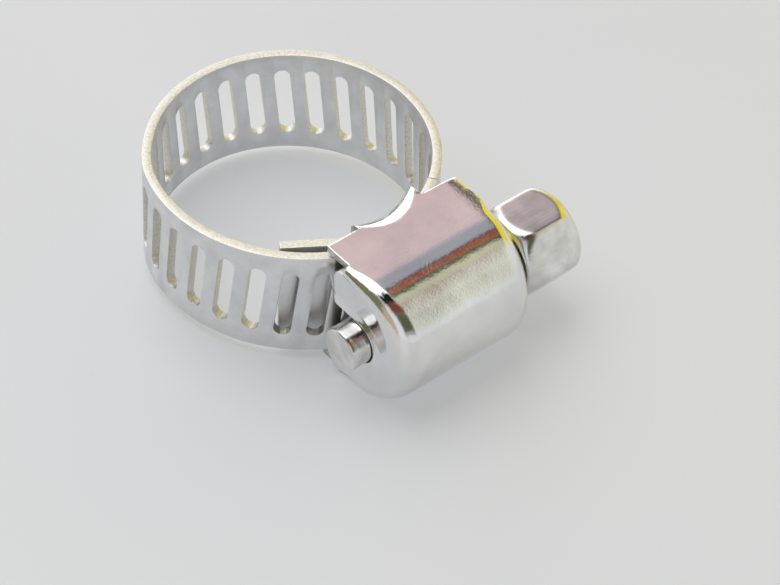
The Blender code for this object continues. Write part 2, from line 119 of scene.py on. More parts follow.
# each pattern is noise: its blotch in millimetres, detail, roughness, and how it is drawn out along an axis.
# tint and roughness each follow one pattern, and the bumps lie over each other, depths in millimetres
even = (1.0, 1.0, 1.0)
looks = {
    # bright zinc on pressed steel: a near mirror, a little wavy, grainy where the sheet was rolled
    "brightPlatedSheet": {
        "patterns": {"stain": (3.5, 3.0, 0.55, even), "grain": (0.16, 3.0, 0.55, even),
                     "wave": (2.0, 1.0, 0.55, even), "lines": (0.09, 2.0, 0.55, (0.04, 1.0, 1.0))},
        "tint": ("stain", "dddddd", "efeeed"), "roughness": ("grain", 0.05, 0.13),
        "bumps": (("wave", 0.03), ("lines", 0.0011), ("grain", 0.007)),
    },
    # the sheet's cut edge is plated too, but torn by the shear, so it sparkles
    "shearedPlatedEdge": {
        "patterns": {"tear": (0.16, 4.0, 0.7, even)},
        "tint": ("tear", "a8a49c", "dedcd6"), "roughness": ("tear", 0.22, 0.42), "bumps": (("tear", 0.03),),
    },
    # cold-rolled steel strip is satin, with a fine grain along the strip and faint scuffs
    "rolledStrip": {
        "alongStrip": True,
        "patterns": {"stain": (1.6, 4.0, 0.55, even), "grain": (0.10, 3.0, 0.6, (0.10, 1.0, 1.0)),
                     "scuff": (0.09, 2.0, 0.55, even)},
        "tint": ("stain", "d8d8d9", "e7e7e8"), "roughness": ("grain", 0.27, 0.40),
        "bumps": (("grain", 0.0016), ("scuff", 0.0012)),
    },
    # slit and punched edges of the strip: creamy, torn metal that catches bright specks
    "shearedStripEdge": {
        "alongStrip": True,
        "patterns": {"tear": (0.14, 4.0, 0.7, even), "lines": (0.08, 2.0, 0.55, (1.0, 1.0, 0.1))},
        "tint": ("tear", "c6c4bb", "eceae2"), "roughness": ("tear", 0.26, 0.5),
        "bumps": (("lines", 0.01), ("tear", 0.035)),
    },
    # plated screw steel, turned on a lathe: fine rings round the axis and a bright, grainy shine
    "turnedPlatedSteel": {
        "patterns": {"stain": (1.2, 3.0, 0.55, even), "grain": (0.18, 3.0, 0.55, even),
                     "rings": (0.11, 2.0, 0.55, (1.0, 0.02, 0.02))},
        "tint": ("stain", "cccac7", "e6e5e2"), "roughness": ("grain", 0.10, 0.24),
        "bumps": (("rings", 0.006), ("grain", 0.004)),
    },
    # cold-drawn hexagon bar, plated: long die lines on the flats break up the reflection
    "drawnHexSteel": {
        "patterns": {"stain": (1.2, 3.0, 0.55, even), "lines": (0.11, 3.0, 0.65, (0.03, 1.0, 1.0))},
        "tint": ("stain", "cccac7", "e6e5e2"), "roughness": ("lines", 0.10, 0.24),
        "bumps": (("lines", 0.008),),
    },
    # coated paper: almost even, with a soft sheen; its base is darkened and a painted glow, standing in for
    # fill light though the paper is no lamp, thins the shadows
    "coatedPaper": {
        "metallic": 0.0, "paintedGlow": ("f4f7fb", 0.33),
        "patterns": {"cloud": (60.0, 2.0, 0.55, even), "fibre": (0.8, 3.0, 0.55, even)},
        "tint": ("cloud", "a9abae", "b0b2b5"), "roughness": 0.38, "bumps": (("fibre", 0.01),),
    },
}
noiseRange = {"From Min": 0.3, "From Max": 0.7}  # nearly all of a noise's values lie between these


def makeFinish(name, look):
    material = bpy.data.materials.new(name)
    material.use_nodes = True
    tree = material.node_tree
    shader = tree.nodes["Principled BSDF"]
    shader.inputs["Metallic"].default_value = look.get("metallic", 1.0)
    if look.get("alongStrip"):
        place = addNode(tree, "ShaderNodeAttribute", attribute_name="stripPlace").outputs["Vector"]
        toMillimetres = 1.0
    else:
        place = addNode(tree, "ShaderNodeTexCoord").outputs["Object"]
        toMillimetres = 1.0 / mm
    patterns = {}
    for pattern, (size, detail, roughness, drawn) in look["patterns"].items():
        scale = tuple(toMillimetres * share for share in drawn)
        patterns[pattern] = addNode(tree, "ShaderNodeTexNoise", {
            "Vector": addNode(tree, "ShaderNodeMapping", {"Vector": place, "Scale": scale}),
            "Scale": 1.0 / size, "Detail": detail, "Roughness": roughness})

    pattern, dark, light = look["tint"]
    share = addNode(tree, "ShaderNodeMapRange", {"Value": patterns[pattern], **noiseRange})
    tint = addNode(tree, "ShaderNodeMix", {
        0: share, 6: (*linear(dark), 1.0), 7: (*linear(light), 1.0)}, data_type="RGBA")
    tree.links.new(tint.outputs[2], shader.inputs["Base Color"])
    if isinstance(look["roughness"], tuple):
        pattern, low, high = look["roughness"]
        rough = addNode(tree, "ShaderNodeMapRange", {
            "Value": patterns[pattern], **noiseRange, "To Min": low, "To Max": high})
        tree.links.new(rough.outputs[0], shader.inputs["Roughness"])
    else:
        shader.inputs["Roughness"].default_value = look["roughness"]
    # painted glow: emission on a surface that is no lamp, standing in for fill light that lifts the shadows
    if "paintedGlow" in look:
        colour, strength = look["paintedGlow"]
        shader.inputs["Emission Color"].default_value = (*linear(colour), 1.0)
        shader.inputs["Emission Strength"].default_value = strength
    bump = None
    for pattern, depth in look["bumps"]:
        under = {} if bump is None else {"Normal": bump}
        bump = addNode(tree, "ShaderNodeBump", {
            "Height": patterns[pattern], "Distance": depth * mm, "Strength": 1.0, **under})
    tree.links.new(bump.outputs[0], shader.inputs["Normal"])
    return material


finishes = {name: makeFinish(name, look) for name, look in looks.items()}
print("finishes:", ", ".join(finishes))


def newTree(name, inputs):
    # a Geometry Nodes tree with named inputs, and the sockets that give their values
    tree = bpy.data.node_groups.new(name, "GeometryNodeTree")
    tree.interface.new_socket("Geometry", in_out="INPUT", socket_type="NodeSocketGeometry")
    for kind, names in inputs.items():
        for inputName in names:
            tree.interface.new_socket(inputName, in_out="INPUT", socket_type="NodeSocket" + kind)
    tree.interface.new_socket("Geometry", in_out="OUTPUT", socket_type="NodeSocketGeometry")
    return tree, addNode(tree, "NodeGroupInput").outputs


band = {
    "width": 8.0, "thickness": 0.6, "slotPitch": 2.0, "slotWidth": 1.08, "slotLength": 5.45,
    "slotSlant": 6.0, "ringMid": 9.09, "freeMid": 10.15, "trailAngle": 157.6, "freeSlots": 12,
    "tipLength": 0.9, "linkCount": 8, "lastLinkAngle": -55.0, "bendAngle": -102.0,
    "bendRadius": 1.2, "tongueSlope": 33.0, "tongueLength": 4.9, "tongueSlotInset": 1.75,
    "fixedSlots": 5, "openGap": 0.06, "column": 0.16, "rim": 0.055, "bendReach": 0.9, "punchSides": 28,
}


def bandPath():
    # the strip's mid line from the free end's tip, clockwise round the ring, to the tongue's tip, as points
    # in millimetres from the ring's centre, and how far along them each mark is
    points, marks = [], {}

    def arc(start, end, place):
        steps = max(1, round(abs(end - start)))
        first = 1 if points else 0
        points.extend(place(start + (end - start) * i / steps) for i in range(first, steps + 1))

    def onFree(angle):
        turn = math.radians(angle)
        return Vector((freeCentreX + band["freeMid"] * math.cos(turn), band["freeMid"] * math.sin(turn)))

    freeSlot = math.degrees(band["slotPitch"] / band["freeMid"])
    ringSlot = math.degrees(band["slotPitch"] / band["ringMid"])
    trail = band["trailAngle"] - 360.0
    tip = trail + band["freeSlots"] * freeSlot + math.degrees(band["tipLength"] / band["freeMid"])
    handOver = onFree(trail)
    firstSeam = math.degrees(math.atan2(handOver.y, handOver.x))

    def onRing(angle):
        ease = smoothStep(1.0 - (firstSeam - angle) / (2 * ringSlot))
        radius = band["ringMid"] + (handOver.length - band["ringMid"]) * ease
        return Vector((radius * math.cos(math.radians(angle)), radius * math.sin(math.radians(angle))))

    arc(tip, trail + freeSlot, onFree)
    marks["middle0"] = len(points) - 1
    arc(trail + freeSlot, trail, onFree)
    marks["hinge1"] = len(points) - 1
    for link in range(1, band["linkCount"] + 1):
        start = firstSeam - (link - 1) * 2 * ringSlot
        arc(start, start - ringSlot, onRing)
        marks[f"middle{link}"] = len(points) - 1
        if link < band["linkCount"]:
            arc(start - ringSlot, start - 2 * ringSlot, onRing)
            marks[f"hinge{link + 1}"] = len(points) - 1
        else:
            arc(start - ringSlot, band["lastLinkAngle"], onRing)
    marks["open"] = len(points) - 1

    # the bend into the tongue: its corner is on the ring, rounded by a small arc on each side
    corner = onRing(band["bendAngle"])
    heading = math.radians(180.0 - band["tongueSlope"])
    away = Vector((math.cos(heading), math.sin(heading)))
    ringHeading = math.radians(band["bendAngle"] - 90.0 + 360.0)
    turn = heading - ringHeading
    ease = band["bendRadius"] * math.tan(abs(turn) / 2)
    arc(band["lastLinkAngle"], band["bendAngle"] + math.degrees(ease / band["ringMid"]), onRing)
    before = points[-1]
    for i in range(1, 9):
        share = i / 8
        points.append((1 - share) ** 2 * before + 2 * share * (1 - share) * corner
                      + share ** 2 * (corner + ease * away))
    points.append(corner + band["tongueLength"] * away)
    marks["end"] = len(points) - 1

    travelled = [0.0]
    for a, b in zip(points, points[1:]):
        travelled.append(travelled[-1] + (b - a).length)
    return points, {name: travelled[i] for name, i in marks.items()}


def pathCurve(points):
    curve = bpy.data.curves.new("bandMidLine", "CURVE")
    curve.dimensions = "3D"
    spline = curve.splines.new("POLY")
    spline.points.add(len(points) - 1)
    for point, place in zip(spline.points, points):
        point.co = (*atRing(place.x, place.y), 1.0)
    return newObject("bandMidLine", curve)


def perforatedStrapTree():
    # a flat strip with its row of slots punched out, then bent along the mid line
    tree, given = newTree("perforatedStrap", {
        "Object": ("Mid Line",), "Int": ("Columns", "Slot Count"), "Material": ("Strip", "Cut Edge"),
        "Float": ("Start", "Length", "Width", "Thickness", "First Slot", "Slot Pitch",
                  "Slot Width", "Slot Length", "Slot Slant")})
    position = addNode(tree, "GeometryNodeInputPosition")
    x, y, z = addNode(tree, "ShaderNodeSeparateXYZ", {0: position}).outputs
    size = addNode(tree, "ShaderNodeCombineXYZ", {
        "X": given["Length"], "Y": given["Width"], "Z": given["Thickness"]})
    blank = addNode(tree, "GeometryNodeMeshCube", {
        "Size": size, "Vertices X": given["Columns"], "Vertices Y": 2, "Vertices Z": 2})
    middle = addNode(tree, "ShaderNodeVectorMath", {0: size, 1: (0.5, 0.0, 0.0)}, operation="MULTIPLY")
    blank = addNode(tree, "GeometryNodeTransform", {"Geometry": blank, "Translation": middle})

    # one punch: a round bar pulled apart into a slot, turned so that no point lies on the split
    sides = band["punchSides"]
    bar = addNode(tree, "GeometryNodeMeshCylinder", {
        "Vertices": sides,
        "Radius": addNode(tree, "ShaderNodeMath", {0: given["Slot Width"], 1: 0.5}, operation="MULTIPLY"),
        "Depth": addNode(tree, "ShaderNodeMath", {0: given["Thickness"], 1: 3.0}, operation="MULTIPLY"),
    }, fill_type="NGON")
    bar = addNode(tree, "GeometryNodeTransform", {"Geometry": bar, "Rotation": (0.0, 0.0, math.pi / sides)})
    straight = addNode(tree, "ShaderNodeMath", {
        0: given["Slot Length"], 1: given["Slot Width"]}, operation="SUBTRACT")
    straight = addNode(tree, "ShaderNodeMath", {0: straight, 1: 0.5}, operation="MULTIPLY")
    side = addNode(tree, "ShaderNodeMath", {0: y}, operation="SIGN")
    pull = addNode(tree, "ShaderNodeMath", {0: side, 1: straight}, operation="MULTIPLY")
    punch = addNode(tree, "GeometryNodeSetPosition", {
        "Geometry": bar, "Offset": addNode(tree, "ShaderNodeCombineXYZ", {"Y": pull})})
    lean = addNode(tree, "ShaderNodeMath", {0: given["Slot Slant"], 1: -1.0}, operation="MULTIPLY")
    punch = addNode(tree, "GeometryNodeTransform", {
        "Geometry": punch, "Rotation": addNode(tree, "ShaderNodeCombineXYZ", {"Z": lean})})
    row = addNode(tree, "GeometryNodeMeshLine", {
        "Count": given["Slot Count"],
        "Start Location": addNode(tree, "ShaderNodeCombineXYZ", {"X": given["First Slot"]}),
        "Offset": addNode(tree, "ShaderNodeCombineXYZ", {"X": given["Slot Pitch"]})}, mode="OFFSET")
    punches = addNode(tree, "GeometryNodeInstanceOnPoints", {"Points": row, "Instance": punch})
    punches = addNode(tree, "GeometryNodeRealizeInstances", {"Geometry": punches})
    punched = addNode(tree, "GeometryNodeMeshBoolean", {
        "Mesh 1": blank, "Mesh 2": punches}, operation="DIFFERENCE", solver="EXACT")

    facing = addNode(tree, "ShaderNodeSeparateXYZ", {0: addNode(tree, "GeometryNodeInputNormal")}).outputs[2]
    isWall = addNode(tree, "FunctionNodeCompare", {
        0: addNode(tree, "ShaderNodeMath", {0: facing}, operation="ABSOLUTE"), 1: 0.5,
    }, data_type="FLOAT", operation="LESS_THAN")
    # the flat place is kept, in millimetres, for the grain to follow the strip
    start = addNode(tree, "ShaderNodeCombineXYZ", {"X": given["Start"]})
    flat = addNode(tree, "ShaderNodeVectorMath", {0: position, 1: start}, operation="ADD")
    flat = addNode(tree, "ShaderNodeVectorMath", {0: flat, "Scale": 1.0 / mm}, operation="SCALE")
    marked = addNode(tree, "GeometryNodeStoreNamedAttribute", {
        "Geometry": punched, "Name": "stripPlace", "Value": flat}, data_type="FLOAT_VECTOR", domain="POINT")
    skinned = addNode(tree, "GeometryNodeSetMaterial", {"Geometry": marked, "Material": given["Strip"]})
    skinned = addNode(tree, "GeometryNodeSetMaterial", {
        "Geometry": skinned, "Selection": isWall, "Material": given["Cut Edge"]})

    line = addNode(tree, "GeometryNodeObjectInfo", {"Object": given["Mid Line"]}).outputs["Geometry"]
    spot = addNode(tree, "GeometryNodeSampleCurve", {
        "Curves": line, "Length": addNode(tree, "ShaderNodeMath", {0: x, 1: given["Start"]}, operation="ADD"),
    }, mode="LENGTH")
    outward = addNode(tree, "ShaderNodeVectorMath", {
        0: (0.0, 0.0, 1.0), 1: spot.outputs["Tangent"]}, operation="CROSS_PRODUCT")
    lifted = addNode(tree, "ShaderNodeVectorMath", {0: outward, "Scale": z}, operation="SCALE")
    down = addNode(tree, "ShaderNodeMath", {0: y, 1: -1.0}, operation="MULTIPLY")
    bent = addNode(tree, "ShaderNodeVectorMath", {0: spot.outputs["Position"], 1: lifted}, operation="ADD")
    bent = addNode(tree, "ShaderNodeVectorMath", {
        0: bent, 1: addNode(tree, "ShaderNodeCombineXYZ", {"Z": down})}, operation="ADD")
    curled = addNode(tree, "GeometryNodeSetPosition", {"Geometry": skinned, "Position": bent})
    made = addNode(tree, "GeometryNodeRealizeInstances", {"Geometry": curled})
    addNode(tree, "NodeGroupOutput", {"Geometry": made})
    return tree


def setInputs(modifier, values):
    sockets = {item.name: item.identifier for item in modifier.node_group.interface.items_tree
               if item.in_out == "INPUT"}
    for name, value in values.items():
        modifier[sockets[name]] = value


def strapPiece(name, midLine, start, end, firstSlot, slotCount, slotPitch, openEnds):
    # one length of the band between two distances along the mid line
    piece = newObject(name, bpy.data.meshes.new(name))
    shape = piece.modifiers.new("perforatedStrap", "NODES")
    shape.node_group = strapTree
    setInputs(shape, {
        "Mid Line": midLine, "Start": start * mm, "Length": (end - start) * mm,
        "Width": band["width"] * mm, "Thickness": band["thickness"] * mm,
        "First Slot": firstSlot * mm, "Slot Pitch": slotPitch * mm, "Slot Count": slotCount,
        "Slot Width": band["slotWidth"] * mm, "Slot Length": band["slotLength"] * mm,
        "Slot Slant": math.radians(band["slotSlant"]),
        "Columns": max(3, round((end - start) / band["column"])),
        "Strip": finishes["rolledStrip"], "Cut Edge": finishes["shearedStripEdge"]})
    bakeDown(piece)
    roundRims(piece, start, end, openEnds)
    softShade(piece, 40.0)
    return piece


def roundRims(piece, start, end, openEnds):
    # ease the sharp rims, but leave a length's end square where the next length carries on
    work = bmesh.new()
    work.from_mesh(piece.data)
    bmesh.ops.remove_doubles(work, verts=work.verts, dist=1e-7)
    flat = work.verts.layers.float_vector["stripPlace"]
    weight = work.edges.layers.float.new("bevel_weight_edge")
    for edge in work.edges:
        if len(edge.link_faces) != 2 or edge.calc_face_angle() < math.radians(50.0):
            continue
        along = [vert[flat].x for vert in edge.verts]
        atStart = max(along) < start + 0.001
        atEnd = min(along) > end - 0.001
        if (atStart and not openEnds[0]) or (atEnd and not openEnds[1]):
            continue
        edge[weight] = 1.0
    work.to_mesh(piece.data)
    work.free()
    rim = piece.modifiers.new("rim", "BEVEL")
    rim.limit_method = "WEIGHT"
    rim.width = band["rim"] * mm
    rim.segments = 2
    bakeDown(piece)


def makeBand():
    points, marks = bandPath()
    midLine = pathCurve(points)
    pitch = band["slotPitch"]
    freeEnd = strapPiece("bandFreeEnd", midLine, 0.0, marks["middle0"], band["tipLength"],
                         band["freeSlots"], pitch, (True, False))
    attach(freeEnd, "free_end_body")
    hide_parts("band_free_end")
    pieces = [freeEnd]

    def spotAt(distance):
        # the mid line's point and heading at a distance along it
        for a, b in zip(points, points[1:]):
            step = (b - a).length
            if distance <= step:
                return a + (b - a) * (distance / step), (b - a) / step
            distance -= step

    for link in range(1, band["linkCount"] + 1):
        start, end = marks[f"middle{link - 1}"], marks[f"middle{link}"]
        piece = strapPiece(f"bandLength{link}", midLine, start, end, 0.0, 3, (end - start) / 2,
                           (False, False))
        _, heading = spotAt(marks[f"hinge{link}"])
        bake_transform(piece)
        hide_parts(f"band_link_{link}")
        pieces.append(piece)
    last = strapPiece("bandLastLength", midLine, marks[f"middle{band['linkCount']}"],
                      marks["open"] - band["openGap"], 0.0, 2, pitch, (False, True))
    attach(last, f"link_{band['linkCount']}_body")
    fixedLength = marks["end"] - marks["open"]
    firstSlot = (fixedLength - band["tongueSlotInset"]) % pitch
    fixed = strapPiece("bandFixedEnd", midLine, marks["open"], marks["end"], firstSlot,
                       band["fixedSlots"], pitch, (True, True))
    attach(fixed, "housing_body")
    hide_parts("band_fixed_end")
    pieces += [last, fixed]
    bpy.data.objects.remove(midLine, do_unlink=True)
    return pieces


strapTree = perforatedStrapTree()
bandPieces = makeBand()
print("band:", len(bandPieces), "lengths")


housing = {
    "sheet": 0.5, "cornerRadius": 0.9, "archCornerRadius": 1.5, "flankTop": -8.6, "wallTop": -10.7,
    "flankLeft": -4.2, "flankRight": 6.0, "crownDecay": 1.6,
    "wallCrown": ((4.6, 0.0), (3.9, 0.7), (3.3, 1.15), (2.4, 1.0), (1.5, 0.35)),  # Z and how far it rises
    "cornerGrowth": 1.8, "droop": 0.12, "droopRun": 1.6,
    "tabLeft": -1.75, "tabRight": 3.25, "tabRadius": 8.08, "tabSeam": 0.3,
    "foldDrop": 1.7, "foldDepth": 1.1, "foldTaper": 0.6,
    "notchRadius": 1.55, "lipReach": 0.55, "lipHeight": 0.14, "cutRim": 0.05,
    "archSteps": 56, "columnStep": 0.35, "wallSteps": 22, "wallCrowding": 1.6,
}


def makeHousing():
    left, right = housingLow.x, housingHigh.x
    halfWidth = housingHigh.z
    screwY = screwAxis.y
    depth = screwY - housingLow.y
    flankLeft, flankRight = housing["flankLeft"], housing["flankRight"]

    # rows run from one flank's top edge, round the arch, to the other's
    rows = []
    flankRows = [housing["flankTop"] + (housing["wallTop"] - housing["flankTop"]) * i / 10 for i in range(10)]
    tabRow = 6  # the tabs' own rows start here, under the flank's top edge
    flankRows += [housing["wallTop"] + (screwY - housing["wallTop"]) * i / 8 for i in range(8)]
    tight, loose = housing["cornerRadius"], housing["archCornerRadius"]
    for y in flankRows:
        rows.append((y, halfWidth, 0.0, 1.0, tight))
    turns = housing["archSteps"]
    for i in range(turns + 1):
        turn = math.pi * i / turns
        out = Vector((-math.sin(turn) / depth, math.cos(turn) / halfWidth)).normalized()
        corner = tight + (loose - tight) * smoothStep(math.sin(turn))
        rows.append((screwY - depth * math.sin(turn), halfWidth * math.cos(turn), out.x, out.y, corner))
    for y in reversed(flankRows):
        rows.append((y, -halfWidth, 0.0, -1.0, tight))

    # columns: each has the X of its straight part, or its place round the pressed corner as an angle
    turnsIn = [math.pi / 2 * i / 12 for i in range(13)]
    spans = [left + loose + 0.1, housing["tabLeft"], housing["tabRight"], right - loose - 0.1]
    flats = [i / 8 for i in range(1, 8)]
    columns = [("left", turn) for turn in reversed(turnsIn)] + [("leftFlat", share) for share in flats]
    for a, b in zip(spans, spans[1:]):
        steps = max(1, round((b - a) / housing["columnStep"]))
        columns += [("middle", a + (b - a) * i / steps) for i in range(steps)]
    columns += [("middle", spans[-1])] + [("rightFlat", share) for share in reversed(flats)]
    columns += [("right", turn) for turn in turnsIn]

    def cornerAt(kind, y, corner):
        # up at the cut ends the flanks stay flat, and the corner grows to its size below them
        cut = flankLeft - left if kind == "left" else right - flankRight
        return cut + (corner - cut) * smoothStep((housing["wallTop"] - y) / housing["cornerGrowth"])

    def place(column, row):
        kind, value = column
        y, z, outY, outZ, corner = row
        x, inset = value, 0.0
        if kind.endswith("Flat"):
            # between the corner's start and the first straight column
            wall, flat = (left, spans[0]) if kind == "leftFlat" else (right, spans[-1])
            radius = cornerAt(kind[:-4], y, corner)
            start = wall + radius if kind == "leftFlat" else wall - radius
            x = start + (flat - start) * value
        elif kind != "middle":
            radius = cornerAt(kind, y, corner)
            inset = radius * (1.0 - math.cos(value))
            along = radius * (1.0 - math.sin(value))
            x = left + along if kind == "left" else right - along
        # towards the head the sheet was drawn in a little
        inset += housing["droop"] * max(0.0, 1.0 - (right - x) / housing["droopRun"]) ** 2
        return x, y - inset * outY, z - inset * outZ

    def isCutAway(column, y):
        # above the end walls the flanks stop short, and between the tabs' edges they start lower
        kind, value = column
        if kind in ("left", "right"):
            return y > housing["wallTop"] + 1e-6 and value > 1e-6
        if kind != "middle":
            return False
        onTab = housing["tabLeft"] + 1e-6 < value < housing["tabRight"] - 1e-6
        return onTab and y > flankRows[tabRow] + 1e-6

    work = bmesh.new()
    grid = {}
    for i, column in enumerate(columns):
        for j, row in enumerate(rows):
            if not isCutAway(column, row[0]):
                grid[i, j] = work.verts.new(atRing(*place(column, row)))
    for i in range(len(columns) - 1):
        midway = (columns[i][0], (columns[i][1] + columns[i + 1][1]) / 2)
        for j in range(len(rows) - 1):
            corners = [(i, j), (i, j + 1), (i + 1, j + 1), (i + 1, j)]
            overTab = columns[i][0] == columns[i + 1][0] == "middle" and isCutAway(
                midway, (rows[j][0] + rows[j + 1][0]) / 2)
            if all(corner in grid for corner in corners) and not overTab:
                work.faces.new([grid[corner] for corner in corners])

    # end walls: ruled from the rounded corner in to the U notch, whose lip stands a little proud
    notch = housing["notchRadius"]
    inner = [row for row in rows if row[0] <= housing["wallTop"] + 1e-6]
    run = 2 * (housing["wallTop"] - screwY) + math.pi * notch

    def onNotch(distance):
        straight = housing["wallTop"] - screwY
        if distance < straight:
            return housing["wallTop"] - distance, notch
        if distance > run - straight:
            return housing["wallTop"] - (run - distance), -notch
        turn = (distance - straight) / notch
        return screwY - notch * math.sin(turn), notch * math.cos(turn)

    bands = housing["wallSteps"]
    for kind, wallX, side in (("left", left, -1.0), ("right", right, 1.0)):
        outer = [place((kind, math.pi / 2), row)[1:] for row in inner]
        lengths = [0.0]
        for a, b in zip(outer, outer[1:]):
            lengths.append(lengths[-1] + math.dist(a, b))
        strips = []
        for (y, z), length in zip(outer, lengths):
            inY, inZ = onNotch(run * length / lengths[-1])
            strip = []
            for k in range(bands + 1):
                share = 1.0 - (1.0 - k / bands) ** housing["wallCrowding"]
                py, pz = y + (inY - y) * share, z + (inZ - z) * share
                off = abs(pz) - notch if py > screwY else math.hypot(py - screwY, pz) - notch
                crown = np.interp(-abs(pz), *zip(*[(-z, up) for z, up in housing["wallCrown"]]))
                py += crown * max(0.0, 1.0 - (housing["wallTop"] - y) / housing["crownDecay"]) ** 2
                rise = housing["lipHeight"] * smoothStep(1.0 - off / housing["lipReach"])
                strip.append(work.verts.new(atRing(wallX + side * rise, py, pz)))
            strips.append(strip)
        for before, after in zip(strips, strips[1:]):
            for k in range(bands):
                work.faces.new((before[k], before[k + 1], after[k + 1], after[k]))

    # tabs: the flank's middle rises, folds over and runs in to the seam, following the ring
    tabMiddle = (housing["tabLeft"] + housing["tabRight"]) / 2
    tabHalf = (housing["tabRight"] - housing["tabLeft"]) / 2
    xs = [x for kind, x in columns if kind == "middle"
          and housing["tabLeft"] - 1e-6 <= x <= housing["tabRight"] + 1e-6]
    for side in (1.0, -1.0):
        strips = []
        for x in xs:
            top = -math.sqrt(housing["tabRadius"] ** 2 - x ** 2)
            taper = 1.0 - housing["foldTaper"] * ((x - tabMiddle) / tabHalf) ** 2
            drop, deep = housing["foldDrop"] * taper, housing["foldDepth"] * taper
            foot = flankRows[tabRow]
            strip = [(foot + (top - drop - foot) * k / (tabRow + 1), halfWidth) for k in range(tabRow + 1)]
            if x in (xs[0], xs[-1]):
                strip = [(flankRows[tabRow - k], halfWidth) for k in range(tabRow + 1)]
            for k in range(13):
                turn = math.pi / 2 * k / 12
                strip.append((top - drop + drop * math.sin(turn), halfWidth - deep + deep * math.cos(turn)))
            reach = halfWidth - deep - housing["tabSeam"] / 2
            strip += [(top, halfWidth - deep - reach * k / 8) for k in range(1, 9)]
            strips.append([work.verts.new(atRing(x, y, side * z)) for y, z in strip])
        for before, after in zip(strips, strips[1:]):
            for k in range(len(before) - 1):
                work.faces.new((before[k], before[k + 1], after[k + 1], after[k]))

    bmesh.ops.remove_doubles(work, verts=work.verts, dist=1e-6)
    bmesh.ops.recalc_face_normals(work, faces=work.faces)
    middlePoint = atRing((left + right) / 2, screwY)
    lowest = min(work.faces, key=lambda face: face.calc_center_median().y)
    if (lowest.calc_center_median() - middlePoint).dot(lowest.normal) < 0.0:
        bmesh.ops.reverse_faces(work, faces=work.faces)
    mesh = bpy.data.meshes.new("housingShell")
    work.to_mesh(mesh)
    work.free()
    shell = newObject("housingShell", mesh)
    mesh.materials.append(finishes["brightPlatedSheet"])
    mesh.materials.append(finishes["shearedPlatedEdge"])
    wall = shell.modifiers.new("sheet", "SOLIDIFY")
    wall.thickness = housing["sheet"] * mm
    wall.offset = -1.0
    wall.use_even_offset = True
    wall.material_offset_rim = 1
    rim = shell.modifiers.new("rim", "BEVEL")
    rim.limit_method = "ANGLE"
    rim.angle_limit = math.radians(55.0)
    rim.width = housing["cutRim"] * mm
    rim.segments = 2
    bakeDown(shell)
    softShade(shell, 35.0)
    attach(shell, "housing_body")
    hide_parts("housing")
    return shell


makeHousing()
print("housing pressed")


screw = {
    "journalRadius": 1.45, "rootRadius": 1.65, "crestRadius": 2.47, "pitch": 2.0,
    "crestWidth": 0.42, "rootWidth": 0.86, "sunk": 0.25, "threadInset": 0.65, "tipChamfer": 0.15,
    "headLength": 4.5, "acrossFlats": 5.8, "headTurn": 32.0,
    "headChamfer": 1.0, "headFaceStep": 0.3, "edgeSharpness": 26.0, "rimSharpness": 30.0, "sides": 144,
    "headRows": 44, "threadSteps": 48, "threadRim": 0.05,
}


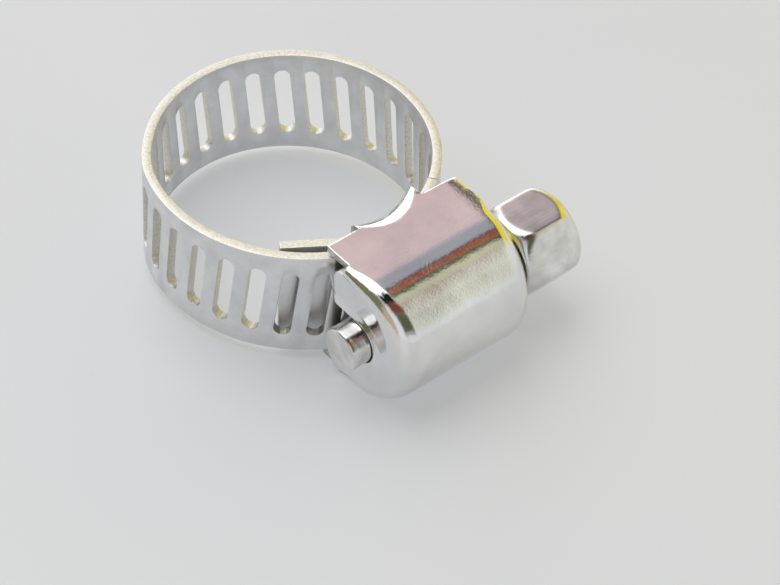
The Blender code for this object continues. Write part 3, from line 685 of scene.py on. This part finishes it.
def makeScrew():
    # core and head as one skin: rings of points along the axis, round or six-sided
    tip, end = screwLow.x, screwHigh.x
    headStart = end - screw["headLength"]
    threadLeft = housingLow.x + screw["threadInset"]
    threadRight = housingHigh.x - screw["threadInset"]
    apothem = screw["acrossFlats"] / 2
    sides = screw["sides"]

    def roundRing(radius):
        return [radius] * sides

    def hexRing(x):
        fromEnd = min(x - headStart, end - x)
        corner = apothem / math.cos(math.pi / 6)
        rim = apothem - screw["headFaceStep"]
        barrel = rim + (corner + 0.05 - rim) * min(1.0, fromEnd / screw["headChamfer"]) ** 0.75
        if fromEnd > screw["headChamfer"]:
            barrel = corner + 0.05 + (fromEnd - screw["headChamfer"])
        ring = []
        for i in range(sides):
            turn = 2.0 * math.pi * i / sides
            reach = 0.0
            for k in range(3):
                facing = math.radians(screw["headTurn"] + 30.0 + 60.0 * k)
                reach += abs(math.cos(turn - facing) / apothem) ** screw["edgeSharpness"]
            flat = reach ** (-1.0 / screw["edgeSharpness"])
            sharp = screw["rimSharpness"]
            ring.append((flat ** -sharp + barrel ** -sharp) ** (-1.0 / sharp))
        return ring

    stations = [(tip, roundRing(0.0))]
    for k in range(1, 6):
        stations.append((tip, roundRing((screw["journalRadius"] - screw["tipChamfer"]) * k / 5)))
    for k in range(1, 5):
        turn = math.pi / 2 * k / 4
        stations.append((tip + screw["tipChamfer"] * (1 - math.cos(turn)),
                         roundRing(screw["journalRadius"] - screw["tipChamfer"] * (1 - math.sin(turn)))))
    for k in range(1, 7):
        stations.append((tip + (threadLeft - tip) * k / 6, roundRing(screw["journalRadius"])))
    stations.append((threadLeft, roundRing(screw["rootRadius"])))
    for k in range(1, 20):
        stations.append((threadLeft + (threadRight - threadLeft) * k / 20, roundRing(screw["rootRadius"])))
    stations.append((threadRight, roundRing(screw["rootRadius"])))
    stations.append((threadRight, roundRing(screw["journalRadius"])))
    stations.append((headStart, roundRing(screw["journalRadius"])))
    headRows = screw["headRows"]
    for k in range(1, 4):
        share = k / 4
        firstRing = hexRing(headStart)
        neck = screw["journalRadius"]
        stations.append((headStart, [neck + (radius - neck) * share for radius in firstRing]))
    for k in range(headRows + 1):
        share = 0.5 - 0.5 * math.cos(math.pi * k / headRows)
        x = headStart + screw["headLength"] * share
        stations.append((x, hexRing(x)))
    lastRing = hexRing(end)
    for k in range(1, 8):
        stations.append((end, [r * (1 - k / 8) for r in lastRing]))
    stations.append((end, roundRing(0.0)))

    work = bmesh.new()
    rings = []
    for x, ring in stations:
        points = []
        for i, radius in enumerate(ring):
            # turns run from +Z towards -Y
            turn = 2.0 * math.pi * i / sides
            spot = atRing(x, screwAxis.y - radius * math.sin(turn), radius * math.cos(turn))
            points.append(work.verts.new(spot))
        rings.append(points)
    headFrom = headStart + 1e-6
    for (x, _), before, after in zip(stations[1:], rings, rings[1:]):
        for i in range(sides):
            k = (i + 1) % sides
            face = work.faces.new((before[i], before[k], after[k], after[i]))
            face.material_index = 1 if headFrom < x < end - 1e-6 else 0
    bmesh.ops.remove_doubles(work, verts=work.verts, dist=1e-7)
    bmesh.ops.dissolve_degenerate(work, edges=work.edges, dist=1e-8)
    bmesh.ops.recalc_face_normals(work, faces=work.faces)
    mesh = bpy.data.meshes.new("wormScrew")
    work.to_mesh(mesh)
    work.free()
    mesh.materials.append(finishes["turnedPlatedSteel"])
    mesh.materials.append(finishes["drawnHexSteel"])
    piece = newObject("wormScrew", mesh)
    softShade(piece, 40.0)
    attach(piece, "screw_body")
    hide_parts("worm_screw")
    return threadLeft, threadRight


def threadTree():
    # the worm's ridge: a spiral line given a tapered section
    tree, given = newTree("wormThread", {
        "Float": ("Radius", "Height", "Turns", "Run", "Root Width", "Crest Width", "Phase"),
        "Vector": ("Start",), "Material": ("Material",)})
    spiral = addNode(tree, "GeometryNodeCurveSpiral", {
        "Resolution": screw["threadSteps"], "Rotations": given["Turns"], "Start Radius": given["Radius"],
        "End Radius": given["Radius"], "Height": given["Run"], "Reverse": True})
    upright = addNode(tree, "GeometryNodeSetCurveNormal", {"Curve": spiral}, mode="Z_UP")
    section = addNode(tree, "GeometryNodeCurvePrimitiveQuadrilateral", {
        "Width": 2.0, "Height": 1.0}, mode="RECTANGLE")
    x, y, z = addNode(tree, "ShaderNodeSeparateXYZ", {0: addNode(tree, "GeometryNodeInputPosition")}).outputs
    # corners at X -1 stay at the root, those at X +1 rise to the crest
    isCrest = addNode(tree, "ShaderNodeMath", {0: x, 1: 0.0}, operation="GREATER_THAN")
    width = addNode(tree, "ShaderNodeMapRange", {
        "Value": isCrest, "To Min": given["Root Width"], "To Max": given["Crest Width"]})
    corner = addNode(tree, "ShaderNodeCombineXYZ", {
        "X": addNode(tree, "ShaderNodeMath", {0: isCrest, 1: given["Height"]}, operation="MULTIPLY"),
        "Y": addNode(tree, "ShaderNodeMath", {0: y, 1: width}, operation="MULTIPLY")})
    shaped = addNode(tree, "GeometryNodeSetPosition", {"Geometry": section, "Position": corner})
    ridge = addNode(tree, "GeometryNodeCurveToMesh", {
        "Curve": upright, "Profile Curve": shaped, "Fill Caps": True})
    turned = addNode(tree, "GeometryNodeTransform", {
        "Geometry": ridge, "Rotation": addNode(tree, "ShaderNodeCombineXYZ", {"Z": given["Phase"]})})
    laid = addNode(tree, "GeometryNodeTransform", {
        "Geometry": turned, "Translation": given["Start"], "Rotation": (0.0, math.pi / 2, 0.0)})
    made = addNode(tree, "GeometryNodeRealizeInstances", {"Geometry": laid})
    coated = addNode(tree, "GeometryNodeSetMaterial", {"Geometry": made, "Material": given["Material"]})
    addNode(tree, "NodeGroupOutput", {"Geometry": coated})
    return tree


def makeThread(threadLeft, threadRight):
    run = threadRight - threadLeft - screw["rootWidth"]
    startX = threadLeft + screw["rootWidth"] / 2
    # the ridge faces the band where it crosses the free end's slot nearest the housing's middle
    slotAngle = math.degrees(band["slotPitch"] / band["freeMid"])
    trail = band["trailAngle"] - 360.0
    slotAngle = trail - round((trail + 90.0) / slotAngle) * slotAngle
    slotX = freeCentreX + band["freeMid"] * math.cos(math.radians(slotAngle))
    startTurn = (startX - slotX) / screw["pitch"] * 2.0 * math.pi
    piece = newObject("wormThread", bpy.data.meshes.new("wormThread"))
    shape = piece.modifiers.new("wormThread", "NODES")
    shape.node_group = threadTree()
    setInputs(shape, {
        "Radius": (screw["rootRadius"] - screw["sunk"]) * mm,
        "Height": (screw["crestRadius"] - screw["rootRadius"] + screw["sunk"]) * mm,
        "Turns": run / screw["pitch"], "Run": run * mm, "Root Width": screw["rootWidth"] * mm,
        "Crest Width": screw["crestWidth"] * mm, "Phase": startTurn + math.pi / 2,
        "Start": atRing(startX, screwAxis.y), "Material": finishes["turnedPlatedSteel"]})
    bakeDown(piece)
    rim = piece.modifiers.new("rim", "BEVEL")
    rim.limit_method = "ANGLE"
    rim.angle_limit = math.radians(35.0)
    rim.width = screw["threadRim"] * mm
    rim.segments = 2
    bakeDown(piece)
    softShade(piece, 40.0)
    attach(piece, "screw_body")


makeThread(*makeScrew())
print("screw turned and threaded")


studio = {
    "worldTint": "edf1f6", "worldStrength": 0.95, "wobble": 0.075, "wobbleScale": 7.0,
    "keyRadiance": 0.8, "keySize": 0.42, "keyPlace": (-0.14, 0.16, 0.44), "floorHalf": 1.2,
}

# what stands round the table, on a round map of the sky: zenith in the middle, horizon at radius 1,
# X to the right and Y up. Each has a colour, a strength, its middle, its half widths and its softness
surroundings = {
    "backWindow": ("ffffff", 1.6, (0.40, 0.80), (0.40, 0.30), 0.5),
    "ceilingLamp": ("ffffff", 1.8, (0.02, 0.22), (0.28, 0.28), 0.4),
    "paleShelf": ("eaebdd", 1.0, (0.46, -0.48), (0.20, 0.34), 0.5),
    "mauveBlind": ("dcc4c5", 1.06, (0.37, 0.42), (0.13, 0.13), 0.35),
    "greyBlind": ("a8a8b2", 1.0, (0.38, 0.19), (0.12, 0.15), 0.9),
    "darkRail": ("48484c", 0.9, (0.39, 0.048), (0.10, 0.03), 0.8),
    "orangeBox": ("ac5331", 0.95, (0.39, -0.025), (0.10, 0.05), 0.9),
    "brownBox": ("6c6238", 0.8, (0.40, -0.13), (0.11, 0.06), 1.0),
    "oliveCloth": ("cfceb2", 0.97, (0.42, -0.26), (0.12, 0.08), 1.0),
    "darkFrame": ("4c442c", 0.7, (0.50, 0.18), (0.035, 0.34), 0.9),
    "yellowCard": ("eed848", 1.15, (0.73, 0.14), (0.20, 0.36), 0.3),
    "darkCoat": ("182624", 0.8, (-0.10, -0.17), (0.36, 0.15), 0.4),
    "brownSleeve": ("8a5440", 0.8, (-0.03, -0.42), (0.38, 0.13), 0.6),
    "oliveTrousers": ("6a6e50", 0.8, (0.00, -0.70), (0.36, 0.18), 0.6),
    "oliveDoor": ("8a8a6a", 0.8, (-0.75, 0.15), (0.24, 0.45), 0.5),
    "paleHand": ("ccb69c", 0.95, (-0.85, -0.38), (0.20, 0.22), 0.5),
}


def makeFloor():
    mesh = bpy.data.meshes.new("paperFloor")
    work = bmesh.new()
    bmesh.ops.create_grid(work, x_segments=1, y_segments=1, size=studio["floorHalf"])
    work.to_mesh(mesh)
    work.free()
    floor = newObject("paperFloor", mesh)
    mesh.materials.append(finishes["coatedPaper"])


def makeLights():
    lamp = bpy.data.lights.new("softBox", "AREA")
    lamp.shape = "SQUARE"
    lamp.size = studio["keySize"]
    lamp.energy = studio["keyRadiance"] * math.pi * studio["keySize"] ** 2
    thing = bpy.data.objects.new("softBox", lamp)
    bpy.context.scene.collection.objects.link(thing)
    thing.location = studio["keyPlace"]
    thing.rotation_euler = (-Vector(studio["keyPlace"])).to_track_quat("-Z", "Y").to_euler()


def makeSurroundings():
    # a white tent with a few things in the room showing through it, for the plating to mirror
    world = bpy.data.worlds.new("whiteTent")
    bpy.context.scene.world = world
    world.use_nodes = True
    tree = world.node_tree
    sky = addNode(tree, "ShaderNodeTexCoord").outputs["Generated"]
    wobble = addNode(tree, "ShaderNodeTexNoise", {
        "Vector": sky, "Scale": studio["wobbleScale"], "Detail": 5.0}).outputs["Color"]
    wobble = addNode(tree, "ShaderNodeVectorMath", {0: wobble, 1: (0.5, 0.5, 0.5)}, operation="SUBTRACT")
    wobble = addNode(tree, "ShaderNodeVectorMath", {0: wobble, "Scale": studio["wobble"]}, operation="SCALE")
    sky = addNode(tree, "ShaderNodeVectorMath", {0: sky, 1: wobble}, operation="ADD")
    sky = addNode(tree, "ShaderNodeVectorMath", {0: sky}, operation="NORMALIZE")
    # the round map: X and Y shrunk by the root of one plus the height
    height = addNode(tree, "ShaderNodeSeparateXYZ", {0: sky}).outputs[2]
    height = addNode(tree, "ShaderNodeMath", {0: height, 1: 0.0}, operation="MAXIMUM")
    height = addNode(tree, "ShaderNodeMath", {0: height, 1: 1.0}, operation="ADD")
    shrink = addNode(tree, "ShaderNodeMath", {0: height, 1: -0.5}, operation="POWER")
    spot = addNode(tree, "ShaderNodeVectorMath", {0: sky, 1: (1.0, 1.0, 0.0)}, operation="MULTIPLY")
    spot = addNode(tree, "ShaderNodeVectorMath", {0: spot, "Scale": shrink}, operation="SCALE")
    tint = (*[part * studio["worldStrength"] for part in linear(studio["worldTint"])], 1.0)
    for colour, strength, middle, half, softness in surroundings.values():
        off = addNode(tree, "ShaderNodeVectorMath", {0: spot, 1: (*middle, 0.0)}, operation="SUBTRACT")
        off = addNode(tree, "ShaderNodeVectorMath", {0: off, 1: (*half, 1.0)}, operation="DIVIDE")
        # a rounded box: the fourth powers keep its sides nearly straight
        squares = addNode(tree, "ShaderNodeVectorMath", {0: off, 1: off}, operation="MULTIPLY")
        fourths = addNode(tree, "ShaderNodeVectorMath", {0: squares, 1: squares}, operation="DOT_PRODUCT")
        reach = addNode(tree, "ShaderNodeMath", {0: fourths.outputs["Value"], 1: 0.25}, operation="POWER")
        share = addNode(tree, "ShaderNodeMapRange", {
            "Value": reach, "From Min": 1.0 + softness / 2, "From Max": 1.0 - softness / 2},
            interpolation_type="SMOOTHSTEP")
        painted = (*[part * strength for part in linear(colour)], 1.0)
        tint = addNode(tree, "ShaderNodeMix", {0: share, 6: tint, 7: painted}, data_type="RGBA").outputs[2]
    tree.links.new(tint, tree.nodes["Background"].inputs["Color"])


# where the camera stands and looks, in millimetres from the ring's centre
eye = {"place": (-87.835, -106.553, 133.115), "aim": (2.166, -7.468, -4.253), "roll": 3.374, "lens": 138.74}


def makeCamera():
    camera = bpy.data.cameras.new("camera")
    camera.lens = eye["lens"]
    camera.sensor_width = 36.0
    camera.clip_start, camera.clip_end = 0.001, 10.0
    thing = bpy.data.objects.new("camera", camera)
    bpy.context.scene.collection.objects.link(thing)
    place, aim = atRing(*eye["place"]), atRing(*eye["aim"])
    look = (aim - place).to_track_quat("-Z", "Y").to_matrix().to_4x4()
    thing.matrix_world = Matrix.Translation(place) @ look @ Matrix.Rotation(math.radians(eye["roll"]), 4, "Z")
    bpy.context.scene.camera = thing


makeFloor()
makeLights()
makeSurroundings()
makeCamera()
bpy.context.scene.view_settings.view_transform = "Standard"
print("studio lit")
